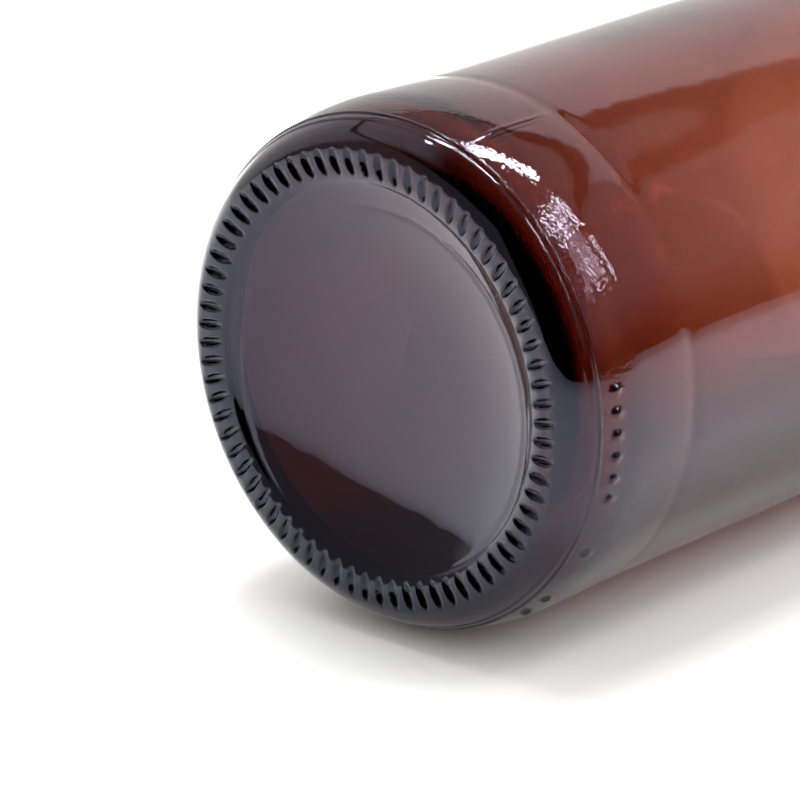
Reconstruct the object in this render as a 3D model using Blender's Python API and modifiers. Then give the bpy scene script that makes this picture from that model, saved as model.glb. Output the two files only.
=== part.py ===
"""Amber glass pint bottle with a screw cap, a cap liner and a tamper band.

Metres, +Z up, origin at the middle of the base, on the surface that the bottle stands on.
"""

from math import cos, pi, radians, sin

import bmesh
import bpy

# Driving dimensions
BODY_RADIUS = 0.0380
PANEL_RADIUS = 0.0377
HEIGHT_TO_LIP = 0.1900
WALL = 0.0022
GAP = 0.0003

# Base and heel
REST_RADIUS = 0.0308
REST_HALF_WIDTH = 0.0012
PUSH_UP_RADIUS = 0.0283
PUSH_UP_RISE = 0.0005
PUSH_UP_DEPTH = 0.0057
PUSH_UP_CURVE = 2.6
PUSH_UP_STEPS = 7
HEEL_HEIGHT = 0.0130
BUMPER_TOP = 0.0236
BUMPER_SLOPE = 0.0015
FLOOR_THICKNESS = 0.0064
FLOOR_EDGE = 0.0072
FLOOR_ROUND = 0.0050
FLOOR_CURVE = 2.0
FLOOR_STEPS = 4
PANEL_TOP = 0.1200
SHOULDER_THICKENING = 0.0006

# Shoulder, neck and finish
SHOULDER_TOP = 0.1560
NECK_RADIUS = 0.0174
NECK_WALL = 0.0027
BEAD_RADIUS = 0.0193
BEAD_BOTTOM = 0.1690
BEAD_TOP = 0.1712
BEAD_SLOPE = 0.0010
LIP_ROUND = 0.0009

# Thread on the glass and the matching thread in the cap
THREAD_STARTS = 3
THREAD_LEAD = 0.0090
THREAD_SWEEP = radians(120)
GLASS_THREAD_BEVEL = 0.0008
GLASS_THREAD_SINK = 0.0004
GLASS_THREAD_START = 0.1793
CAP_THREAD_BEVEL = 0.0007
CAP_THREAD_SINK = 0.0001
CAP_THREAD_START = GLASS_THREAD_START - THREAD_LEAD / THREAD_STARTS / 2
CAP_THREAD_SWEEP = radians(60)

# Cap, liner and band
CAP_RADIUS = 0.0208
CAP_BORE_RADIUS = 0.0191
CAP_BOTTOM = 0.1757
CAP_TOP_THICKNESS = 0.0015
LINER_THICKNESS = 0.0010
LINER_RADIUS = 0.0184
LINER_BOTTOM = HEIGHT_TO_LIP + GAP
CAP_CEILING = LINER_BOTTOM + LINER_THICKNESS + GAP
CAP_TOP = CAP_CEILING + CAP_TOP_THICKNESS
CAP_EDGE = 0.0011
BAND_BOTTOM = 0.1660
BAND_TOP = CAP_BOTTOM - GAP
BAND_BORE_RADIUS = 0.0197
BAND_HOOK_RADIUS = 0.0183
BAND_HOOK_TOP = BEAD_BOTTOM - BEAD_SLOPE - GAP
BAND_HOOK_BOTTOM = BAND_BOTTOM + 0.0004

TURN_STEPS = 48


def clear_scene():
    for obj in list(bpy.data.objects):
        bpy.data.objects.remove(obj, do_unlink=True)


def new_collection(name):
    collection = bpy.data.collections.new(name)
    bpy.context.scene.collection.children.link(collection)
    return collection


def material(name, colour, roughness, transmission=0.0):
    made = bpy.data.materials.new(name)
    made.use_nodes = True
    shader = made.node_tree.nodes["Principled BSDF"]
    shader.inputs["Base Color"].default_value = (*colour, 1.0)
    shader.inputs["Roughness"].default_value = roughness
    shader.inputs["Metallic"].default_value = 0.0
    shader.inputs["Transmission Weight"].default_value = transmission
    return made


def arc(centre, radius, start, end, steps):
    """Points of an arc in the radius-height plane, both ends included. Angles are in degrees."""
    points = []
    for i in range(steps + 1):
        angle = radians(start + (end - start) * i / steps)
        points.append((centre[0] + radius * cos(angle), centre[1] + radius * sin(angle)))
    return points


def ellipse_heel(inner, outer, height, steps):
    """Points down a quarter ellipse, from upright at the body's side to flat at the base."""
    points = []
    for i in range(steps + 1):
        angle = pi / 2 * i / steps
        points.append((inner + (outer - inner) * cos(angle), height * (1 - sin(angle))))
    return points


def domed(edge, top, curve, steps):
    """Points of a shallow dome, from its (radius, height) edge to its top on the axis."""
    points = []
    for i in range(steps + 1):
        radius = edge[0] * (1 - i / steps)
        points.append((radius, top - (top - edge[1]) * (radius / edge[0]) ** curve))
    return points


def eased(low, high, steps):
    """Points of an S-curve between two (radius, height) points, both ends included."""
    points = []
    for i in range(steps + 1):
        share = i / steps
        ease = (1 - cos(pi * share)) / 2
        points.append((low[0] + (high[0] - low[0]) * ease, low[1] + (high[1] - low[1]) * share))
    return points


def turned(name, profile, collection, look):
    """A solid of revolution from (radius, height) points that run down its outer side."""
    mesh = bpy.data.meshes.new(name)
    mesh.from_pydata(
        [(radius, 0.0, height) for radius, height in profile],
        [(i, i + 1) for i in range(len(profile) - 1)],
        [],
    )
    obj = bpy.data.objects.new(name, mesh)
    collection.objects.link(obj)
    obj.data.materials.append(look)
    screw = obj.modifiers.new("turn", "SCREW")
    screw.axis = "Z"
    screw.angle = 2 * pi
    screw.steps = TURN_STEPS
    screw.render_steps = TURN_STEPS
    screw.use_merge_vertices = True
    screw.merge_threshold = 0.00001
    screw.use_smooth_shade = True
    return obj


def closed_ring(points):
    """A profile that returns to its first point, for a ring that doesn't reach the axis."""
    return points + [points[0]]


def helix(name, radius, bottom, start_angle, sweep, bevel, collection):
    """One thread ridge as a closed mesh, round in section and rising by the lead."""
    curve = bpy.data.curves.new(name, "CURVE")
    curve.dimensions = "3D"
    curve.bevel_depth = bevel
    curve.bevel_resolution = 2
    curve.use_fill_caps = True
    spline = curve.splines.new("POLY")
    steps = max(4, round(sweep / radians(8)))
    spline.points.add(steps)
    for i in range(steps + 1):
        turn = sweep * i / steps
        angle = start_angle + turn
        height = bottom + THREAD_LEAD * turn / (2 * pi)
        spline.points[i].co = (radius * cos(angle), radius * sin(angle), height, 1.0)
    tube = bpy.data.objects.new(name + "_curve", curve)
    collection.objects.link(tube)
    bpy.context.view_layer.update()
    graph = bpy.context.evaluated_depsgraph_get()
    mesh = bpy.data.meshes.new_from_object(tube.evaluated_get(graph))
    weld = bmesh.new()
    weld.from_mesh(mesh)
    bmesh.ops.remove_doubles(weld, verts=weld.verts, dist=0.00001)
    bmesh.ops.recalc_face_normals(weld, faces=weld.faces)
    weld.to_mesh(mesh)
    weld.free()
    ridge = bpy.data.objects.new(name, mesh)
    ridge.matrix_world = tube.matrix_world
    collection.objects.link(ridge)
    bpy.data.objects.remove(tube, do_unlink=True)
    ridge.hide_render = True
    ridge.display_type = "WIRE"
    return ridge


def join(obj, other):
    boolean = obj.modifiers.new(other.name, "BOOLEAN")
    boolean.object = other
    boolean.operation = "UNION"
    boolean.solver = "EXACT"


def thread(obj, radius, bottom, sweep, bevel, cutters):
    """Adds every start of a thread to obj."""
    for start in range(THREAD_STARTS):
        name = f"{obj.name}_thread_{start}"
        angle = 2 * pi * start / THREAD_STARTS
        join(obj, helix(name, radius, bottom, angle, sweep, bevel, cutters))


def glass_outside():
    """The glass from the lip down to the middle of the base, on its outer side."""
    rest_outer = REST_RADIUS + REST_HALF_WIDTH
    rest_inner = REST_RADIUS - REST_HALF_WIDTH
    points = arc((NECK_RADIUS - LIP_ROUND, HEIGHT_TO_LIP - LIP_ROUND), LIP_ROUND, 90, 0, 3)
    points += [(NECK_RADIUS, BEAD_TOP + BEAD_SLOPE)]
    points += [(BEAD_RADIUS, BEAD_TOP), (BEAD_RADIUS, BEAD_BOTTOM)]
    points += [(NECK_RADIUS, BEAD_BOTTOM - BEAD_SLOPE)]
    points += eased((NECK_RADIUS, SHOULDER_TOP), (PANEL_RADIUS, PANEL_TOP), 10)
    points += [(PANEL_RADIUS, BUMPER_TOP + BUMPER_SLOPE), (BODY_RADIUS, BUMPER_TOP)]
    points += ellipse_heel(rest_outer, BODY_RADIUS, HEEL_HEIGHT, 8)
    points += [(rest_inner, 0.0)]
    return points + domed(
        (PUSH_UP_RADIUS, PUSH_UP_RISE), PUSH_UP_DEPTH, PUSH_UP_CURVE, PUSH_UP_STEPS
    )


def glass_inside():
    """The glass from the middle of its floor up to the lip, on its inner side."""
    inner = PANEL_RADIUS - WALL
    floor_edge = (inner - FLOOR_ROUND, FLOOR_EDGE)
    points = domed(
        floor_edge, PUSH_UP_DEPTH + FLOOR_THICKNESS, FLOOR_CURVE, FLOOR_STEPS
    )[::-1]
    points += arc((floor_edge[0], FLOOR_EDGE + FLOOR_ROUND), FLOOR_ROUND, -90, 0, 6)[1:]
    bore = NECK_RADIUS - NECK_WALL
    points += eased((inner, PANEL_TOP), (bore, SHOULDER_TOP - SHOULDER_THICKENING), 10)
    points += [(bore, HEIGHT_TO_LIP - LIP_ROUND)]
    points += arc((bore + LIP_ROUND, HEIGHT_TO_LIP - LIP_ROUND), LIP_ROUND, 180, 90, 3)[1:]
    return points


def make_glass_body(parts, cutters):
    look = material("amber_glass", (0.35, 0.10, 0.03), 0.03, 1.0)
    glass = turned("glass_body", glass_inside() + glass_outside(), parts, look)
    radius = NECK_RADIUS + GLASS_THREAD_SINK
    thread(glass, radius, GLASS_THREAD_START, THREAD_SWEEP, GLASS_THREAD_BEVEL, cutters)
    return glass


def make_cap_shell(parts, cutters):
    look = material("black_plastic", (0.02, 0.02, 0.022), 0.35)
    inside = [(0.0, CAP_CEILING), (CAP_BORE_RADIUS, CAP_CEILING), (CAP_BORE_RADIUS, CAP_BOTTOM)]
    outside = [(0.0, CAP_TOP)]
    outside += arc((CAP_RADIUS - CAP_EDGE, CAP_TOP - CAP_EDGE), CAP_EDGE, 90, 0, 4)
    outside += [(CAP_RADIUS, CAP_BOTTOM)]
    cap = turned("cap_shell", outside + inside[::-1], parts, look)
    radius = CAP_BORE_RADIUS - CAP_THREAD_SINK
    thread(cap, radius, CAP_THREAD_START, CAP_THREAD_SWEEP, CAP_THREAD_BEVEL, cutters)
    return cap


def make_cap_liner(parts):
    look = material("liner_foam", (0.86, 0.85, 0.82), 0.6)
    bottom, top = LINER_BOTTOM, LINER_BOTTOM + LINER_THICKNESS
    profile = [(0.0, top), (LINER_RADIUS, top), (LINER_RADIUS, bottom), (0.0, bottom)]
    return turned("cap_liner", profile, parts, look)


def make_tamper_band(parts):
    look = material("black_plastic_band", (0.02, 0.02, 0.022), 0.35)
    profile = [
        (CAP_RADIUS, BAND_TOP),
        (CAP_RADIUS, BAND_BOTTOM),
        (BAND_HOOK_RADIUS, BAND_HOOK_BOTTOM),
        (BAND_HOOK_RADIUS, BAND_HOOK_TOP),
        (BAND_BORE_RADIUS, BAND_HOOK_TOP),
        (BAND_BORE_RADIUS, BAND_TOP),
    ]
    return turned("tamper_band", closed_ring(profile), parts, look)


def main():
    clear_scene()
    parts = new_collection("glass_bottle")
    cutters = new_collection("thread_ridges")
    make_glass_body(parts, cutters)
    make_cap_shell(parts, cutters)
    make_cap_liner(parts)
    make_tamper_band(parts)


main()
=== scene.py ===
"""Looks of the amber glass pint bottle: glass, cap, liner, band, stage, lights and camera.

Metres, +Z up the bottle. The camera sees the bottle lying on its side, so the table is the
plane under its +Y side and "up" in that view is -Y.
"""

from math import cos, pi, radians, sin

import bpy
import numpy as np
from mathutils import Matrix, Vector


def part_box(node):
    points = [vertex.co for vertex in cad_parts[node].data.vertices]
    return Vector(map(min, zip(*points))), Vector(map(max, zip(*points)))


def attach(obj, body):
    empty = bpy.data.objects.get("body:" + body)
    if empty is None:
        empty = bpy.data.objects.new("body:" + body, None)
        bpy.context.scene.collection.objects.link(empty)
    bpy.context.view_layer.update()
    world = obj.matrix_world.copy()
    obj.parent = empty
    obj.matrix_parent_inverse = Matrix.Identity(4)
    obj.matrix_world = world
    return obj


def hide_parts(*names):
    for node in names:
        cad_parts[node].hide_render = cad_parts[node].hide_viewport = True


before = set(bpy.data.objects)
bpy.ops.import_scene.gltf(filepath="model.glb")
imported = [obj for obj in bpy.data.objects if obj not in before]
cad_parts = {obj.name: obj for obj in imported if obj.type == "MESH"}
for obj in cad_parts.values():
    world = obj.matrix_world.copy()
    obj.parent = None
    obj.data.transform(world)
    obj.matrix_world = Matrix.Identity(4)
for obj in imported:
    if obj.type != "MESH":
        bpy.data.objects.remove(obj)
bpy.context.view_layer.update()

MM = 0.001
ON_AXIS = 1e-7

# Sizes from the frame
BODY_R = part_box("glass_body")[1][0]
LIP_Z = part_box("glass_body")[1][2]
CAP_LOW, CAP_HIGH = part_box("cap_shell")
BAND_LOW, BAND_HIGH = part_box("tamper_band")
LINER_LOW, LINER_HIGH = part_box("cap_liner")

# Base, heel and body of the glass
PANEL_R = BODY_R - 0.3 * MM
REST_OUTER = 32.0 * MM
RIB_INNER = 28.3 * MM
RIB_OUTER = 33.4 * MM
RIB_COUNT = 72
RIB_MIDDLE = 30.8 * MM
RIB_RISE = 0.59 * MM
RIB_HALF_LENGTH = 1.9 * MM
RIB_HALF_WIDTH = 0.70 * MM
RIB_DEPTH = 0.80 * MM
RIB_SLANT = 0.16
PUSH_UP_DEPTH = 5.7 * MM
PUSH_UP_CURVE = 2.6
PLUNGER_RING_R = 25.9 * MM
PLUNGER_RING_OFFSET = (-0.2 * MM, 2.2 * MM)
FLOOR_THICKNESS = 6.4 * MM
FLOOR_EDGE = 7.2 * MM
FLOOR_ROUND = 5.0 * MM
HEEL_HEIGHT = 13.0 * MM
PLATE_LINE_Z = 4.8 * MM
BUMPER_TOP = 23.6 * MM
PANEL_TOP = 120.0 * MM
WALL = 2.2 * MM
LOW_WALL_EXTRA = 1.0 * MM
SEAM_ANGLE = radians(-71)
DOT_Z = 7.5 * MM
DOT_PITCH = radians(4.9)
DOT_FIRST = radians(-8.4)
DOT_PLACES = (0, 1, 2, 3, 4, 5, 8, 11.4, 12.8)
DOT_R = 0.85 * MM
DOT_HEIGHT = 0.50 * MM

# Shoulder, neck and finish of the glass
SHOULDER_TOP = 156.0 * MM
NECK_R = 17.4 * MM
NECK_WALL = 2.7 * MM
BEAD_R = 19.3 * MM
BEAD_BOTTOM = 169.0 * MM
BEAD_TOP = 171.2 * MM
BEAD_SLOPE = 1.0 * MM
LIP_ROUND = 0.9 * MM
THREAD_STARTS = 3
THREAD_LEAD = 9.0 * MM
THREAD_START_Z = 179.3 * MM
THREAD_HEIGHT = 1.2 * MM
THREAD_HALF = 0.8 * MM

# Cap, liner and band
CAP_R = CAP_HIGH[0]
CAP_BORE_R = 19.1 * MM
CAP_CEILING_Z = LINER_HIGH[2] + 0.3 * MM
CAP_RIBS = 60
CAP_COLUMNS = CAP_RIBS * 8
CAP_RIB_DEPTH = 0.40 * MM
CAP_RIM_WIDTH = 2.2 * MM
CAP_DISH = 0.25 * MM
CAP_THREAD_Z = THREAD_START_Z - 1.5 * MM
CAP_THREAD_HEIGHT = 0.8 * MM
CAP_THREAD_HALF = 0.7 * MM
LINER_ROUND = 0.3 * MM
LINER_COLUMNS = 96
LIP_MARK_DEPTH = 0.12 * MM
BAND_BORE_R = 19.7 * MM
BAND_HOOK_R = 18.3 * MM
BAND_HOOK_TOP = 167.7 * MM
BRIDGE_COUNT = 12
STUB_HEIGHT = 0.2 * MM

# Heights of the fine relief on the glass
BUMPER_BULGE = 0.30 * MM
BUMPER_GROOVE = 0.07 * MM
PLUNGER_STEP = 0.11 * MM
PLUNGER_CREASE = 0.06 * MM
PLATE_BAND = 0.14 * MM
PLATE_RIDGE = 0.15 * MM
PLATE_GROOVE = 0.08 * MM
PLATE_WAVER = 0.08 * MM
SKIN_RIPPLE = 0.05 * MM
HEEL_RIPPLE = 0.02 * MM
INNER_RIPPLE = 0.12 * MM
SEAM_BUMP_MM = 0.05
SEAM_FADED = 0.08
PEEL_BUMP_MM = 0.036
WAVES_BUMP_MM = 0.024

# Columns round the glass
COARSE = 144
MEDIUM = COARSE * 2
FINE = COARSE * 8

GLASS_ABSORB_PER_M = (450.0, 760.0, 900.0)

# Camera, and the table along the bottle's +Y side
CAMERA_PLACE = Vector((0.4244, -0.2250, -0.4701))
CAMERA_AIM = Vector((0.0035, 0.0024, 0.0020))
LENS_MM = 220.8
TABLE_HALF = 6.0
TABLE_GAP = 0.15 * MM
# Painted reflection on the table: strength of its glow to glossy rays only, and the X where that
# glow starts and where it is full
TABLE_PAINTED_REFLECTION = 0.38
TABLE_PAINTED_GLOW_SIDE = (0.05, -0.1)

# The room's brightness to each kind of ray, and the directions between which its parts fade in
CAMERA_GLOW = 1.0
TABLE_GLOW = 0.93
THROUGH_GLOW = 0.4
ROOM_GLOW = 0.01
WALL_GLOW = 1.15
WALL_TOP = -0.64
WALL_TOP_BLUR = 0.02
WALL_SIDE = 0.15
WALL_SIDE_BLUR = 0.03
WALL_ALONG = (-0.1, 0.3)
WALL_FADED = 0.3
LEFT_SIDE = (-0.15, -0.4)
LEFT_NEAR = (-0.6, -0.35)
LEFT_FAR = (0.35, 0.2)
BEYOND_GLOW = 0.5
BEYOND_ALONG = (-0.2, 0.2)
BEYOND_UP = (-0.05, -0.35)
EDGE_LINE = (0.006, 0.024)
EDGE_FADED = 0.15

# Lights: directions from the bottle's base, and metres
LIGHTS_AIM = Vector((0, 0, 0.01))
FILL = {
    "direction": (-0.55, -0.80, 0.15),
    "along": (0, 0, 1),
    "distance": 1.3,
    "length": 1.0,
    "width": 1.0,
    "radiance": 3.0,
}
LAMP = {
    "direction": (-0.12, -0.91, 0.31),
    "along": (0.30, 0.16, 0.29),
    "distance": 0.9,
    "length": 0.74,
    "width": 0.065,
    "radiance": 60.0,
}
WINDOW_UPPER = Vector((0.445, -0.565, 0.61))
WINDOW_LOWER = Vector((0.625, -0.63, 0.31))
WINDOW_ALONG = Vector((0.27, 0.42, 0.07))
PANE = {"distance": 1.15, "length": 0.50, "width": 0.30, "radiance": 2.6}
PANE_PLACE = 0.55
FOLD_DISTANCE = 1.1
# Name, shift along the window, length, and shares of the fold's width and radiance
FOLD_PARTS = (("fold", -0.35, 0.24, 1.0, 1.0), ("fold_end", 0.25, 0.30, 0.8, 0.35))
# Place from upper to lower, width and radiance of each bright fold
WINDOW_FOLDS = ((0.0, 0.03, 32.0), (0.3, 0.03, 20.0), (0.62, 0.05, 28.0), (1.0, 0.03, 30.0))


# ---- mesh helpers -------------------------------------------------------------------


def smooth_step(low, high, x):
    t = np.clip((x - low) / (high - low), 0, 1)
    return t * t * (3 - 2 * t)


def bell(x, centre, half_width):
    """A smooth bump of height 1 that is 0 beyond half_width."""
    t = np.clip(np.abs(x - centre) / half_width, 0, 1)
    return (1 - t * t) ** 2


def angle_gap(a, b):
    return np.abs((a - b + pi) % (2 * pi) - pi)


def straight(start, end, steps):
    """Points from start towards end, without end."""
    return [
        (start[0] + (end[0] - start[0]) * i / steps, start[1] + (end[1] - start[1]) * i / steps)
        for i in range(steps)
    ]


def arc(centre, radius, start, end, steps):
    """Points of an arc in the radius-height plane, both ends included. Angles are in degrees."""
    points = []
    for i in range(steps + 1):
        angle = radians(start + (end - start) * i / steps)
        points.append((centre[0] + radius * cos(angle), centre[1] + radius * sin(angle)))
    return points


def eased(low, high, steps):
    """Points of an S-curve between two (radius, height) points, both ends included."""
    points = []
    for i in range(steps + 1):
        share = i / steps
        ease = (1 - cos(pi * share)) / 2
        points.append((low[0] + (high[0] - low[0]) * ease, low[1] + (high[1] - low[1]) * share))
    return points


def profile_normals(points):
    """Unit normals of a profile in the radius-height plane, on the right of its travel."""
    along = np.gradient(points, axis=0)
    along /= np.linalg.norm(along, axis=1, keepdims=True) + 1e-12
    return np.stack([along[:, 1], -along[:, 0]], axis=1)


class Lathe:
    """Rings of points, joined into one closed surface. A ring of one column is a pole."""

    def __init__(self):
        self.points = []
        self.faces = []
        self.last = None

    def ring(self, columns, positions):
        first = len(self.points)
        self.points.extend(map(tuple, positions))
        here = (first, columns)
        if self.last:
            self.join(self.last, here)
        self.last = here

    def join(self, below, above):
        (a, na), (b, nb) = below, above
        if na == nb:
            for i in range(na):
                j = (i + 1) % na
                self.faces.append((a + i, a + j, b + j, b + i))
        elif na == 1 or nb == 1:
            pole, rim, count, turn = (a, b, nb, False) if na == 1 else (b, a, na, True)
            for i in range(count):
                j = (i + 1) % count
                self.faces.append((rim + i, rim + j, pole) if turn else (pole, rim + j, rim + i))
        else:
            self.join_unlike(below, above)

    def join_unlike(self, below, above):
        """Joins a coarse ring to a fine one by a fan at each coarse column."""
        (a, na), (b, nb) = below, above
        coarse, fine, count = (a, b, na) if na < nb else (b, a, nb)
        many = max(na, nb) // count
        flip = na > nb
        half = many // 2
        for i in range(count):
            after = coarse + (i + 1) % count
            for k in range(many):
                p = fine + (i * many + k) % (count * many)
                q = fine + (i * many + k + 1) % (count * many)
                hub = coarse + i if k < half else after
                self.faces.append((q, p, hub) if not flip else (p, q, hub))
            p = fine + (i * many + half) % (count * many)
            self.faces.append((coarse + i, after, p) if not flip else (after, coarse + i, p))

    def weld_ends(self, columns):
        """Makes the last ring the first one, which it lies on, so that the band is closed."""
        last = len(self.points) - columns
        self.faces = [tuple(i - last if i >= last else i for i in face) for face in self.faces]
        del self.points[last:]

    def object(self, name):
        mesh = bpy.data.meshes.new(name)
        mesh.from_pydata(self.points, [], self.faces)
        mesh.validate()
        mesh.shade_smooth()
        return in_scene(name, mesh)


def in_scene(name, data):
    """A new object in the scene, with this data."""
    made = bpy.data.objects.new(name, data)
    bpy.context.scene.collection.objects.link(made)
    return made


def lathe_rows(lathe, points, columns_of, relief):
    """Adds a ring for each profile point, moved along its normal by relief(angle, r, z)."""
    points = np.array(points, float)
    normals = profile_normals(points)
    for (r, z), (nr, nz) in zip(points, normals):
        if r < ON_AXIS:
            lathe.ring(1, [(0.0, 0.0, z)])
            continue
        columns = columns_of(r, z)
        angle = np.arange(columns) * 2 * pi / columns
        height = relief(angle, r, z)
        radius = r + height * nr
        lathe.ring(
            columns, np.stack([radius * np.cos(angle), radius * np.sin(angle), z + height * nz], 1)
        )


# ---- glass --------------------------------------------------------------------------


def outside_profile():
    """Points from the middle of the base out and up to the lip, on the glass's outer side."""
    dome = [(r, push_up_height(r)) for r in np.linspace(0, 22.5 * MM, 13)]
    dome += [(r, push_up_height(r)) for r in np.linspace(22.5 * MM, RIB_INNER, 20)[1:]]
    ribs = [
        (r, push_up_height(r) + heel_height(r)) for r in np.linspace(RIB_INNER, RIB_OUTER, 22)[1:]
    ]
    heights = list(np.linspace(ribs[-1][1], 3.0 * MM, 6)[1:])
    heights += list(np.linspace(3.0 * MM, 5.4 * MM, 18)[1:])
    heights += list(np.linspace(5.4 * MM, 8.6 * MM, 11)[1:])
    heights += list(np.linspace(8.6 * MM, HEEL_HEIGHT, 7)[1:])
    heel = [(heel_radius(z), z) for z in heights]
    bumper = [
        (bumper_radius(z), z)
        for z in np.arange(HEEL_HEIGHT + 1.0 * MM, BUMPER_TOP + 3.5 * MM, 0.85 * MM)
    ]
    panel = [(PANEL_R, z) for z in np.linspace(BUMPER_TOP + 5 * MM, PANEL_TOP, 14)]
    shoulder = eased((NECK_R, SHOULDER_TOP), (PANEL_R, PANEL_TOP), 18)[::-1][1:]
    neck = straight((NECK_R, SHOULDER_TOP + 0.6 * MM), (NECK_R, BEAD_BOTTOM - BEAD_SLOPE), 4)
    finish = [
        (finish_radius(z), z)
        for z in np.arange(BEAD_BOTTOM - BEAD_SLOPE, LIP_Z - LIP_ROUND, 0.36 * MM)
    ]
    lip = arc((NECK_R - LIP_ROUND, LIP_Z - LIP_ROUND), LIP_ROUND, 0, 90, 5)
    return dome + ribs + heel + bumper + panel + shoulder + neck + finish + lip


def push_up_height(r):
    """A shallow dome that flattens out on the bearing ring."""
    if r < RIB_INNER:
        return PUSH_UP_DEPTH - (PUSH_UP_DEPTH - RIB_RISE) * (r / RIB_INNER) ** PUSH_UP_CURVE
    return RIB_RISE * max(0.0, (RIB_MIDDLE - r) / (RIB_MIDDLE - RIB_INNER)) ** 2


def heel_radius(z):
    """The radius of the round heel at height z."""
    return REST_OUTER + (BODY_R - REST_OUTER) * (1 - (1 - z / HEEL_HEIGHT) ** 2) ** 0.5


def heel_height(r):
    """How far the round heel is above the table that the bottle stands on, at radius r."""
    if r <= REST_OUTER:
        return 0.0
    return HEEL_HEIGHT * (1 - (1 - ((r - REST_OUTER) / (BODY_R - REST_OUTER)) ** 2) ** 0.5)


def bumper_radius(z):
    """The heel bulges a little, then meets the body in a soft groove."""
    bulge = BUMPER_BULGE * ((z - HEEL_HEIGHT) / (BUMPER_TOP - HEEL_HEIGHT)) ** 2
    groove = BUMPER_GROOVE * bell(z, BUMPER_TOP, 1.8 * MM)
    return float(BODY_R - min(bulge, BUMPER_BULGE) - groove)


def finish_radius(z):
    """The bead under the thread, with sloped and softened sides."""
    up = smooth_step(BEAD_BOTTOM - BEAD_SLOPE, BEAD_BOTTOM + 0.2 * MM, z)
    down = smooth_step(BEAD_TOP + BEAD_SLOPE, BEAD_TOP - 0.2 * MM, z)
    return float(NECK_R + (BEAD_R - NECK_R) * min(up, down))


def inside_profile():
    """Points from the lip down the bore and the inner wall to the middle of the floor."""
    bore = NECK_R - NECK_WALL
    inner = PANEL_R - WALL
    edge = inner - LOW_WALL_EXTRA - FLOOR_ROUND
    middle = PUSH_UP_DEPTH + FLOOR_THICKNESS
    lip = arc((bore + LIP_ROUND, LIP_Z - LIP_ROUND), LIP_ROUND, 90, 180, 5)[1:]
    neck = straight((bore, LIP_Z - 2 * MM), (bore, SHOULDER_TOP), 6)
    shoulder = eased((inner, PANEL_TOP), (bore, SHOULDER_TOP - 0.6 * MM), 16)[::-1]
    wall = [
        (inner - LOW_WALL_EXTRA * smooth_step(50 * MM, FLOOR_EDGE + FLOOR_ROUND, z), z)
        for z in np.linspace(PANEL_TOP - 5 * MM, FLOOR_EDGE + FLOOR_ROUND + 2 * MM, 20)
    ]
    corner = arc((edge, FLOOR_EDGE + FLOOR_ROUND), FLOOR_ROUND, 0, -90, 16)
    flat = [
        (r, middle - (middle - FLOOR_EDGE) * (r / edge) ** 2) for r in np.linspace(edge, 0, 12)[1:]
    ]
    return lip + neck + shoulder + wall + corner + flat


def ripple(angle, s, waves):
    """Gentle unevenness of blown glass: a sum of waves round and along the bottle."""
    total = 0.0
    for around, along, phase in waves:
        total = total + np.sin(around * angle + along * s / MM + phase)
    return total / len(waves)


SKIN_WAVES = [(2, 0.07, 0.3), (3, -0.11, 1.7), (5, 0.19, 4.0), (7, -0.26, 2.2)]
HEEL_WAVES = [(9, 0.9, 0.4), (14, -1.3, 2.9), (23, 0.7, 5.0), (31, -1.7, 1.2), (41, 1.1, 3.3)]
INNER_WAVES = [(2, 0.09, 2.0), (3, 0.16, 0.5), (4, -0.21, 3.6), (6, 0.33, 5.2), (9, -0.4, 1.1)]


def rib_relief(angle, r):
    """Slim oval hollows across the bearing ring, each a little aslant."""
    across = ((angle * RIB_COUNT / (2 * pi)) % 1 - 0.5) * 2 * pi * r / RIB_COUNT
    along = r - RIB_MIDDLE
    wide = (across + RIB_SLANT * along) / RIB_HALF_WIDTH
    return -RIB_DEPTH * np.clip(1 - wide**2 - (along / RIB_HALF_LENGTH) ** 2, 0, 1) ** 0.5


def plunger_ring_relief(angle, r):
    """Fine round creases in the push-up, set a little off centre."""
    x = r * np.cos(angle) - PLUNGER_RING_OFFSET[0]
    y = r * np.sin(angle) - PLUNGER_RING_OFFSET[1]
    away = np.hypot(x, y)
    step = smooth_step(PLUNGER_RING_R - 0.25 * MM, PLUNGER_RING_R + 0.25 * MM, away)
    second = bell(np.hypot(x - 0.3 * MM, y), PLUNGER_RING_R + 0.5 * MM, 0.4 * MM)
    return -PLUNGER_STEP * step - PLUNGER_CREASE * second


def plate_line_relief(angle, z):
    """The line where the bottom plate meets the mould: a raised band, a ridge and a groove."""
    z = z - PLATE_WAVER * np.sin(5 * angle + 1.0)
    band = PLATE_BAND * smooth_step(3.2 * MM, 3.55 * MM, z) * smooth_step(5.1 * MM, 4.8 * MM, z)
    ridge = PLATE_RIDGE * bell(z, PLATE_LINE_Z, 0.36 * MM)
    return band + ridge - PLATE_GROOVE * bell(z, PLATE_LINE_Z - 0.48 * MM, 0.28 * MM)


def dot_relief(angle, r, z):
    """Raised round dots in a row on the heel."""
    total = 0.0
    for place in DOT_PLACES:
        round_by = angle_gap(angle, DOT_FIRST + DOT_PITCH * place) * r
        away = np.hypot(round_by, z - DOT_Z)
        total = total + np.sqrt(np.clip(1 - (away / DOT_R) ** 2, 0, 1))
    return DOT_HEIGHT * total


def thread_relief(angle, z):
    """Three right-handed ridges that each go a third of the way round."""
    sweep = 2 * pi / THREAD_STARTS
    turned = angle % sweep
    total = 0.0
    for shift in (-sweep, 0.0, sweep):
        turn = turned - shift
        inside = smooth_step(-0.02, 0.10, turn) * smooth_step(sweep + 0.02, sweep - 0.10, turn)
        centre = THREAD_START_Z + THREAD_LEAD * turn / (2 * pi)
        across = np.clip(1 - ((z - centre) / THREAD_HALF) ** 2, 0, 1)
        total = np.maximum(total, inside * np.sqrt(across))
    return THREAD_HEIGHT * total


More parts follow.
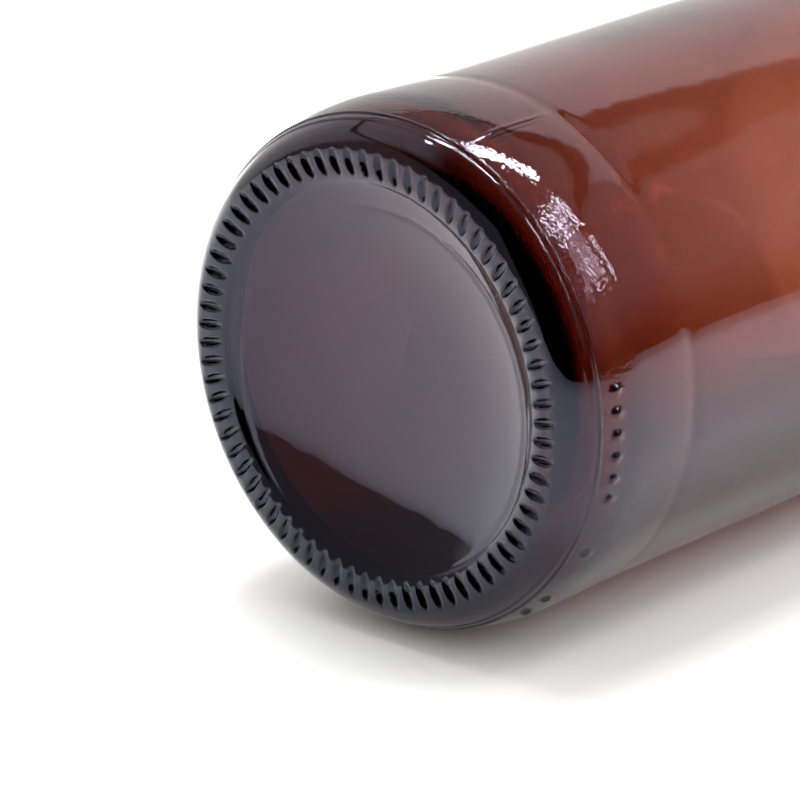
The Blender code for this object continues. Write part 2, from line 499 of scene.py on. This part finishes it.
def outside_relief(angle, r, z):
    """Everything raised or sunk on the outer side, by where on the bottle it is."""
    skin = SKIN_RIPPLE * ripple(angle, z, SKIN_WAVES) * smooth_step(14 * MM, 40 * MM, z)
    skin = skin * smooth_step(BEAD_BOTTOM, SHOULDER_TOP, z)
    if z > BEAD_TOP + BEAD_SLOPE:
        return skin + thread_relief(angle, z) * float(z < LIP_Z - LIP_ROUND)
    if z > PANEL_TOP:
        return skin
    if z < 6 * MM and r < RIB_INNER:
        return plunger_ring_relief(angle, r) * smooth_step(RIB_INNER, RIB_INNER - 0.5 * MM, r)
    if z < 1 * MM and r < RIB_OUTER:
        return rib_relief(angle, r)
    near_line = bell(z, PLATE_LINE_Z + 3 * MM, 9 * MM)
    wobble = HEEL_RIPPLE * (ripple(angle, z, HEEL_WAVES) - 1) * near_line
    raised = dot_relief(angle, r, z) + plate_line_relief(angle, z)
    return skin - SKIN_RIPPLE * smooth_step(14 * MM, 40 * MM, z) + wobble + raised


def inside_relief(angle, r, z):
    """Unevenness of the inner wall, which was never touched by the mould."""
    share = smooth_step(0, 12 * MM, r) * smooth_step(SHOULDER_TOP, PANEL_TOP, z)
    return INNER_RIPPLE * ripple(angle, z, INNER_WAVES) * share


def columns_outside(r, z):
    """Many columns at the ring and the heel, and few higher up."""
    if RIB_INNER - 0.1 * MM < r and z < 8.7 * MM:
        return FINE
    return MEDIUM if 22 * MM < r < RIB_INNER and z < 8.7 * MM else COARSE


def make_glass():
    lathe = Lathe()
    lathe_rows(lathe, outside_profile(), columns_outside, outside_relief)
    lathe_rows(lathe, inside_profile(), lambda r, z: COARSE, inside_relief)
    glass = lathe.object("glass_bottle")
    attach(glass, "bottle")
    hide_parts("glass_body")
    return glass


# ---- cap, liner and band ------------------------------------------------------------


def towards(here, there):
    """The unit direction from here to there, and the distance."""
    gap = there - here
    distance = np.linalg.norm(gap)
    return gap / distance, distance


def filleted(corners, radius, steps):
    """A closed profile through the corners, each rounded by a short curve."""
    points = []
    count = len(corners)
    for i in range(count):
        before, here, after = (np.array(corners[(i + k) % count]) for k in (-1, 0, 1))
        back, back_far = towards(here, before)
        ahead, ahead_far = towards(here, after)
        reach = min(radius, back_far / 2.5, ahead_far / 2.5)
        start, end = here + back * reach, here + ahead * reach
        for k in range(steps + 1):
            t = k / steps
            points.append(start * (1 - t) ** 2 + here * 2 * t * (1 - t) + end * t * t)
    return points


def subdivided(points, longest, closed=True):
    """The same profile with a point at least every longest metres."""
    ends = points[1:] + ([points[0]] if closed else [])
    made = []
    for a, b in zip(points, ends):
        steps = max(1, int(np.ceil(np.linalg.norm(np.array(b) - np.array(a)) / longest)))
        made.extend(np.array(a) + (np.array(b) - np.array(a)) * k / steps for k in range(steps))
    return made if closed else made + [np.array(points[-1])]


def turned_piece(name, points, columns, relief, closed):
    """A lathed object with the same columns all over. A closed one joins end to start."""
    lathe = Lathe()
    rows = list(points) + ([points[0]] if closed else [])
    lathe_rows(lathe, rows, lambda r, z: columns, relief)
    if closed:
        lathe.weld_ends(columns)
    return lathe.object(name)


def grip_ribs(angle, r, z, low, high):
    """Grooves of a ribbed skirt, which fade out below the top edge."""
    wave = (0.5 - 0.5 * np.cos(angle * CAP_RIBS)) ** 0.7
    foot = smooth_step(low, low + 0.8 * MM, z)
    head = smooth_step(high, high - 1.2 * MM, z)
    return -CAP_RIB_DEPTH * wave * foot * head


def cap_relief(angle, r, z):
    """Grip ribs outside, and three short threads in the bore."""
    if r > CAP_R - 0.2 * MM:
        return grip_ribs(angle, r, z, CAP_LOW[2] + 0.8 * MM, CAP_HIGH[2] - 0.9 * MM)
    if abs(r - CAP_BORE_R) < 0.05 * MM:
        sweep = 2 * pi / THREAD_STARTS
        turn = angle % sweep
        inside = smooth_step(0.0, 0.12, turn) * smooth_step(sweep / 2, sweep / 2 - 0.12, turn)
        centre = CAP_THREAD_Z + THREAD_LEAD * turn / (2 * pi)
        across = np.clip(1 - ((z - centre) / CAP_THREAD_HALF) ** 2, 0, 1)
        return CAP_THREAD_HEIGHT * inside * np.sqrt(across)
    return 0.0 * angle


def cap_profile():
    """From the ceiling's middle down the bore, round the rim and up to the top's middle."""
    top, bottom = CAP_HIGH[2], CAP_LOW[2]
    corners = [
        (0.0, CAP_CEILING_Z),
        (CAP_BORE_R, CAP_CEILING_Z),
        (CAP_BORE_R, bottom),
        (CAP_R, bottom),
        (CAP_R, top),
        (CAP_R - CAP_RIM_WIDTH, top),
        (CAP_R - CAP_RIM_WIDTH - 0.3 * MM, top - CAP_DISH),
        (0.0, top - CAP_DISH),
    ]
    radii = [0.0, 0.25 * MM, 0.2 * MM, 0.25 * MM, 1.0 * MM, 0.12 * MM, 0.12 * MM, 0.0]
    points = [corners[0]]
    for i in range(1, len(corners) - 1):
        before, here, after = (np.array(corners[i + k]) for k in (-1, 0, 1))
        back, ahead = towards(here, before)[0], towards(here, after)[0]
        for t in np.linspace(0, 1, 6):
            bend = here + back * radii[i] * (1 - t) ** 2 + ahead * radii[i] * t * t
            points.append(tuple(bend))
    points.append(corners[-1])
    return thinned_middle(subdivided(points, 0.45 * MM, closed=False))


def thinned_middle(points):
    """Drops most rings near the axis, where the flat faces need few."""
    kept = []
    for i, point in enumerate(points):
        near = 0 < point[0] < CAP_R - CAP_RIM_WIDTH - 1.5 * MM
        if not near or i % 6 == 0:
            kept.append(tuple(point))
    return kept


def make_cap():
    cap = turned_piece("screw_cap", cap_profile(), CAP_COLUMNS, cap_relief, closed=False)
    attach(cap, "cap")
    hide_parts("cap_shell")
    return cap


def make_liner():
    """A foam disc that bears the mark of the lip on its under side."""
    low, high, r = LINER_LOW[2], LINER_HIGH[2], LINER_HIGH[0]
    press_low, press_high = NECK_R - NECK_WALL + 0.2 * MM, NECK_R - 0.2 * MM

    def pressed(angle, radius, z):
        mark = smooth_step(press_low - MM / 2, press_low, radius)
        mark = mark * smooth_step(press_high + MM / 2, press_high, radius)
        return -LIP_MARK_DEPTH * mark * float(z < low + 0.1 * MM) + 0.0 * angle

    under = [(s, low) for s in np.linspace(0, r - LINER_ROUND, 40)]
    edge = arc((r - LINER_ROUND, low + LINER_ROUND), LINER_ROUND, -90, 0, 4)
    edge += arc((r - LINER_ROUND, high - LINER_ROUND), LINER_ROUND, 0, 90, 4)
    over = [(s, high) for s in np.linspace(r - 0.6 * MM, 0, 8)]
    points = under + edge[1:] + over
    liner = turned_piece("foam_liner", points, LINER_COLUMNS, pressed, closed=False)
    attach(liner, "liner")
    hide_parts("cap_liner")
    return liner


def make_band():
    """A ribbed ring with a hook inside and the stubs of its bridges on top."""
    bottom, top = BAND_LOW[2], BAND_HIGH[2]
    corners = [
        (CAP_R, bottom),
        (CAP_R, top - 0.2 * MM),
        (BAND_BORE_R, top - 0.2 * MM),
        (BAND_BORE_R, BAND_HOOK_TOP),
        (BAND_HOOK_R, BAND_HOOK_TOP),
        (BAND_HOOK_R, bottom + 0.4 * MM),
    ]

    def relief(angle, r, z):
        if r > CAP_R - 0.1 * MM and bottom + 0.3 * MM < z < top - 0.5 * MM:
            return grip_ribs(angle, r, z, bottom + 1.4 * MM, top - 0.9 * MM)
        if z > top - 0.25 * MM and BAND_BORE_R + 0.1 * MM < r < CAP_R - 0.1 * MM:
            return STUB_HEIGHT * bell((angle * BRIDGE_COUNT / (2 * pi)) % 1, 0.5, 0.07)
        return 0.0 * angle

    points = subdivided([tuple(q) for q in filleted(corners, 0.25 * MM, 3)], 0.3 * MM)
    band = turned_piece("tamper_ring", points, CAP_COLUMNS, relief, closed=True)
    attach(band, "band")
    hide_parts("tamper_band")
    return band


# ---- materials ----------------------------------------------------------------------


def new_material(name):
    """A material with its Principled shader and its node tree."""
    made = bpy.data.materials.new(name)
    made.use_nodes = True
    return made, made.node_tree, made.node_tree.nodes["Principled BSDF"]


def noise(tree, scale, detail=3.0, roughness=0.5):
    place = tree.nodes.new("ShaderNodeTexCoord")
    made = tree.nodes.new("ShaderNodeTexNoise")
    made.inputs["Scale"].default_value = scale
    made.inputs["Detail"].default_value = detail
    made.inputs["Roughness"].default_value = roughness
    tree.links.new(place.outputs["Object"], made.inputs["Vector"])
    return made.outputs["Fac"]


def ramp(tree, source, low, high):
    """Maps a 0 to 1 value onto low to high, around its middle."""
    made = tree.nodes.new("ShaderNodeMapRange")
    made.inputs["From Min"].default_value = 0.3
    made.inputs["From Max"].default_value = 0.7
    made.inputs["To Min"].default_value = low
    made.inputs["To Max"].default_value = high
    tree.links.new(source, made.inputs["Value"])
    return made.outputs["Result"]


def bump(tree, source, shader, strength, distance):
    made = tree.nodes.new("ShaderNodeBump")
    made.inputs["Strength"].default_value = strength
    made.inputs["Distance"].default_value = distance
    tree.links.new(source, made.inputs["Height"])
    tree.links.new(made.outputs["Normal"], shader.inputs["Normal"])


def mix_colours(tree, source, dark, light):
    made = tree.nodes.new("ShaderNodeMix")
    made.data_type = "RGBA"
    made.inputs["A"].default_value = (*dark, 1)
    made.inputs["B"].default_value = (*light, 1)
    tree.links.new(ramp(tree, source, 0.0, 1.0), made.inputs["Factor"])
    return made.outputs["Result"]


def within(tree, value, low, high):
    """1 above high, 0 below low and smooth between."""
    made = tree.nodes.new("ShaderNodeMapRange")
    made.interpolation_type = "SMOOTHSTEP"
    made.inputs["From Min"].default_value = low
    made.inputs["From Max"].default_value = high
    tree.links.new(value, made.inputs["Value"])
    return made.outputs["Result"]


def arithmetic(tree, operation, first, second=None):
    """A Math node's result. Its inputs are floats or sockets."""
    made = tree.nodes.new("ShaderNodeMath")
    made.operation = operation
    for socket, value in zip(made.inputs, (first, second)):
        if isinstance(value, float):
            socket.default_value = value
        elif value is not None:
            tree.links.new(value, socket)
    return made.outputs[0]


def times(tree, first, *others):
    """The product of sockets and floats, taken from left to right."""
    for other in others:
        first = arithmetic(tree, "MULTIPLY", first, other)
    return first


def place_of(tree, coordinates):
    """A vector of the place or direction, and its X, Y and Z."""
    vector = tree.nodes.new("ShaderNodeTexCoord").outputs[coordinates]
    split = tree.nodes.new("ShaderNodeSeparateXYZ")
    tree.links.new(vector, split.inputs[0])
    return vector, *(split.outputs[axis] for axis in "XYZ")


def glass_skin_height(tree):
    """In mm: faint waves all over, orange peel on the heel, and the mould's two seams."""
    place, _, _, up = place_of(tree, "Object")
    across = tree.nodes.new("ShaderNodeVectorMath")
    across.operation = "DOT_PRODUCT"
    across.inputs[1].default_value = (-sin(SEAM_ANGLE), cos(SEAM_ANGLE), 0)
    tree.links.new(place, across.inputs[0])
    away = arithmetic(tree, "ABSOLUTE", across.outputs["Value"])
    on_seam = within(tree, away, 0.5 * MM, 0.1 * MM)
    above_plate = within(tree, up, 5.0 * MM, 5.6 * MM)
    fading = arithmetic(tree, "MAXIMUM", within(tree, up, 26 * MM, 18 * MM), SEAM_FADED)
    seam = times(tree, on_seam, SEAM_BUMP_MM, above_plate, fading)
    on_heel = times(tree, within(tree, up, 4.9 * MM, 5.4 * MM), within(tree, up, 14 * MM, 9 * MM))
    peel = times(tree, noise(tree, 1500.0, 1.0), on_heel, PEEL_BUMP_MM)
    waves = times(tree, noise(tree, 160.0, 2.0), WAVES_BUMP_MM)
    return arithmetic(tree, "ADD", arithmetic(tree, "ADD", seam, peel), waves)


def amber_glass():
    """Clear smooth glass that takes its amber from absorption in its thickness."""
    made, tree, shader = new_material("amber_glass")
    shader.inputs["Base Color"].default_value = (1, 1, 1, 1)
    shader.inputs["Transmission Weight"].default_value = 1.0
    shader.inputs["IOR"].default_value = 1.52
    shader.inputs["Roughness"].default_value = 0.015
    shader.inputs["Specular Tint"].default_value = (0.70, 0.70, 0.96, 1)
    shader.inputs["Specular IOR Level"].default_value = 0.95
    bump(tree, glass_skin_height(tree), shader, 1.0, MM)
    density = max(GLASS_ABSORB_PER_M)
    volume = tree.nodes.new("ShaderNodeVolumeAbsorption")
    volume.inputs["Color"].default_value = (*[1 - a / density for a in GLASS_ABSORB_PER_M], 1)
    volume.inputs["Density"].default_value = density
    output = tree.nodes["Material Output"]
    tree.links.new(volume.outputs["Volume"], output.inputs["Volume"])
    return made


def cap_plastic():
    """Black moulded plastic with a fine grain and faint scuffs."""
    made, tree, shader = new_material("cap_plastic")
    grain = noise(tree, 900.0, 4.0, 0.6)
    scuffs = noise(tree, 140.0, 6.0, 0.7)
    colour = mix_colours(tree, scuffs, (0.006, 0.006, 0.007), (0.014, 0.0135, 0.014))
    tree.links.new(colour, shader.inputs["Base Color"])
    tree.links.new(ramp(tree, scuffs, 0.32, 0.46), shader.inputs["Roughness"])
    shader.inputs["Specular IOR Level"].default_value = 0.35
    bump(tree, grain, shader, 0.25, 0.0002)
    return made


def liner_foam():
    """Off-white closed-cell foam with a fine pitted surface."""
    made, tree, shader = new_material("liner_foam")
    cells = noise(tree, 1400.0, 3.0, 0.6)
    blotches = noise(tree, 120.0, 3.0)
    colour = mix_colours(tree, blotches, (0.74, 0.72, 0.66), (0.86, 0.85, 0.81))
    tree.links.new(colour, shader.inputs["Base Color"])
    tree.links.new(ramp(tree, cells, 0.55, 0.75), shader.inputs["Roughness"])
    bump(tree, cells, shader, 0.4, 0.0002)
    return made


def table_white():
    """Matt white with a painted reflection: a glow that only glossy rays see, on its -X side. A
    view from below looks through it.
    """
    made, tree, shader = new_material("table_white")
    shader.inputs["Base Color"].default_value = (0.93, 0.93, 0.925, 1)
    shader.inputs["Roughness"].default_value = 0.7
    shader.inputs["Specular IOR Level"].default_value = 0.15
    # Painted reflection: the table emits light for glossy rays only, on its -X side, so it looks
    # brighter in the glass than its lighting makes it
    path = tree.nodes.new("ShaderNodeLightPath")
    _, side, _, _ = place_of(tree, "Object")
    painted_glow_side = within(tree, side, *TABLE_PAINTED_GLOW_SIDE)
    painted_reflection = times(tree, path.outputs["Is Glossy Ray"], TABLE_PAINTED_REFLECTION, painted_glow_side)
    shader.inputs["Emission Color"].default_value = (1, 0.98, 1, 1)
    tree.links.new(painted_reflection, shader.inputs["Emission Strength"])
    clear = tree.nodes.new("ShaderNodeBsdfTransparent")
    facing = tree.nodes.new("ShaderNodeNewGeometry")
    mix = tree.nodes.new("ShaderNodeMixShader")
    tree.links.new(facing.outputs["Backfacing"], mix.inputs["Fac"])
    tree.links.new(shader.outputs["BSDF"], mix.inputs[1])
    tree.links.new(clear.outputs["BSDF"], mix.inputs[2])
    tree.links.new(mix.outputs["Shader"], tree.nodes["Material Output"].inputs["Surface"])
    return made


# ---- stage, lights and camera -------------------------------------------------------


def looking(place, aim, up):
    """A transform at place whose -Z looks at aim, with up upwards."""
    forward = (aim - place).normalized()
    right = forward.cross(up).normalized()
    above = right.cross(forward)
    turn = Matrix((right, above, -forward)).transposed().to_4x4()
    return Matrix.Translation(place) @ turn


def make_camera():
    data = bpy.data.cameras.new("camera")
    data.lens = LENS_MM
    data.sensor_width = 36.0
    data.clip_start = 0.01
    data.clip_end = 50.0
    camera = in_scene("camera", data)
    camera.matrix_world = looking(CAMERA_PLACE, CAMERA_AIM, Vector((0, -1, 0)))
    bpy.context.scene.camera = camera


def make_table():
    """The white table that the lying bottle rests on: a plane just under its +Y side."""
    half = TABLE_HALF
    y = BODY_R + TABLE_GAP
    mesh = bpy.data.meshes.new("table")
    corners = [(-half, y, -half), (half, y, -half), (half, y, half), (-half, y, half)]
    mesh.from_pydata(corners, [], [(0, 1, 2, 3)])
    table = in_scene("table", mesh)
    if mesh.polygons[0].normal.y > 0:
        mesh.flip_normals()
    mesh.materials.append(table_white())


def soft_box(name, direction, along, distance, length, width, radiance):
    """An area light aimed at the bottle's base, with its length in the direction of along."""
    data = bpy.data.lights.new(name, "AREA")
    data.shape = "RECTANGLE"
    data.size = width
    data.size_y = length
    data.energy = radiance * pi * width * length
    light = in_scene(name, data)
    place = Vector(direction).normalized() * distance
    light.matrix_world = looking(place, LIGHTS_AIM, Vector(along))
    light.visible_camera = False
    return light


def switched(tree, switch, value, other):
    """value where the switch is 0, and the number other where it is 1."""
    made = tree.nodes.new("ShaderNodeMix")
    made.inputs["B"].default_value = other
    tree.links.new(switch, made.inputs["Factor"])
    tree.links.new(value, made.inputs["A"])
    return made.outputs["Result"]


def room_glow(tree):
    """A lit back wall, a lit left side and a dimmer far end, parted by a dark line."""
    _, side, up, along = place_of(tree, "Generated")
    wall = times(
        tree,
        within(tree, up, WALL_TOP - WALL_TOP_BLUR, WALL_TOP + WALL_TOP_BLUR),
        WALL_GLOW,
        within(tree, side, WALL_SIDE + WALL_SIDE_BLUR, WALL_SIDE - WALL_SIDE_BLUR),
        arithmetic(tree, "MAXIMUM", within(tree, along, *WALL_ALONG), WALL_FADED),
    )
    left = times(
        tree,
        within(tree, side, *LEFT_SIDE),
        within(tree, along, *LEFT_NEAR),
        within(tree, along, *LEFT_FAR),
    )
    beyond = times(
        tree, within(tree, along, *BEYOND_ALONG), BEYOND_GLOW, within(tree, up, *BEYOND_UP)
    )
    brightest = arithmetic(tree, "MAXIMUM", arithmetic(tree, "MAXIMUM", wall, left), beyond)
    from_top = arithmetic(tree, "ABSOLUTE", arithmetic(tree, "SUBTRACT", up, WALL_TOP))
    edge = arithmetic(tree, "MAXIMUM", within(tree, from_top, *EDGE_LINE), EDGE_FADED)
    return arithmetic(tree, "ADD", times(tree, brightest, edge), ROOM_GLOW)


def make_world():
    """White to the camera, an even glow for the table, and a dim room for the glass."""
    world = bpy.data.worlds.new("studio")
    bpy.context.scene.world = world
    world.use_nodes = True
    tree = world.node_tree
    nodes, links = tree.nodes, tree.links
    nodes.clear()
    output = nodes.new("ShaderNodeOutputWorld")
    path = nodes.new("ShaderNodeLightPath")
    through = times(tree, path.outputs["Is Transmission Ray"], THROUGH_GLOW)
    room = arithmetic(tree, "MAXIMUM", room_glow(tree), through)
    bounced = arithmetic(tree, "GREATER_THAN", path.outputs["Diffuse Depth"], 0.5)
    strength = switched(tree, bounced, room, TABLE_GLOW)
    strength = switched(tree, path.outputs["Is Camera Ray"], strength, CAMERA_GLOW)
    background = nodes.new("ShaderNodeBackground")
    background.inputs["Color"].default_value = (1.0, 0.995, 0.98, 1)
    links.new(strength, background.inputs["Strength"])
    links.new(background.outputs[0], output.inputs["Surface"])


def make_lights():
    """A long lamp overhead, a window with bright folds of curtain, and a fill for the table."""
    fill = soft_box("fill", **FILL)
    fill.visible_glossy = False
    fill.visible_transmission = False
    soft_box("lamp", **LAMP)
    pane_middle = WINDOW_UPPER.lerp(WINDOW_LOWER, PANE_PLACE)
    soft_box("window", pane_middle, WINDOW_ALONG, **PANE)
    for place, width, radiance in WINDOW_FOLDS:
        middle = WINDOW_UPPER.lerp(WINDOW_LOWER, place)
        for name, shift, length, width_share, light_share in FOLD_PARTS:
            soft_box(
                name,
                middle + WINDOW_ALONG * shift,
                WINDOW_ALONG,
                FOLD_DISTANCE,
                length,
                width * width_share,
                radiance * light_share,
            )


# ---- build --------------------------------------------------------------------------


def main():
    """Makes the stage and then the four pieces, each with its material."""
    bpy.context.scene.view_settings.view_transform = "Standard"
    make_camera()
    make_world()
    make_table()
    make_lights()
    black = cap_plastic()
    for piece, look in (
        (make_glass(), amber_glass()),
        (make_cap(), black),
        (make_liner(), liner_foam()),
        (make_band(), black),
    ):
        piece.data.materials.append(look)


main()
